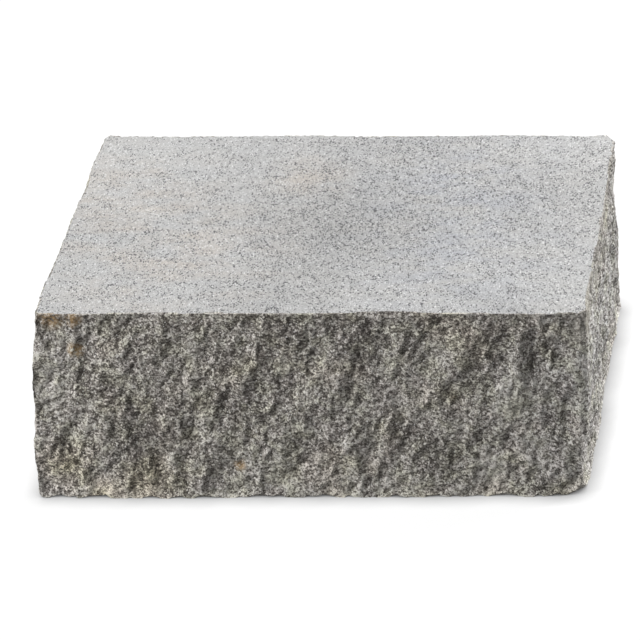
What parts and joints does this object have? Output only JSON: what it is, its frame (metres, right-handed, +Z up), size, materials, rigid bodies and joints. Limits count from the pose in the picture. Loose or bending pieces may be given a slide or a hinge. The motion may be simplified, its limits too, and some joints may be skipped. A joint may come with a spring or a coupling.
{
  "type": "garden wall block",
  "caption": "Low oblong block of speckled grey stone for garden walls, with two flat smooth beds and rough split faces around its sides.",
  "frame": {"origin": "middle of the block's gauge box, on the plane of the bottom bed", "axes": "+X along the length, +Y from the face shown in the wall to the back, +Z up, square to the two beds"},
  "size_m": [0.4, 0.2499, 0.15],
  "materials": {
    "stone": "matte"
  },
  "bodies": {
    "root": {"wall_block": "stone"}
  },
  "joints": []
}
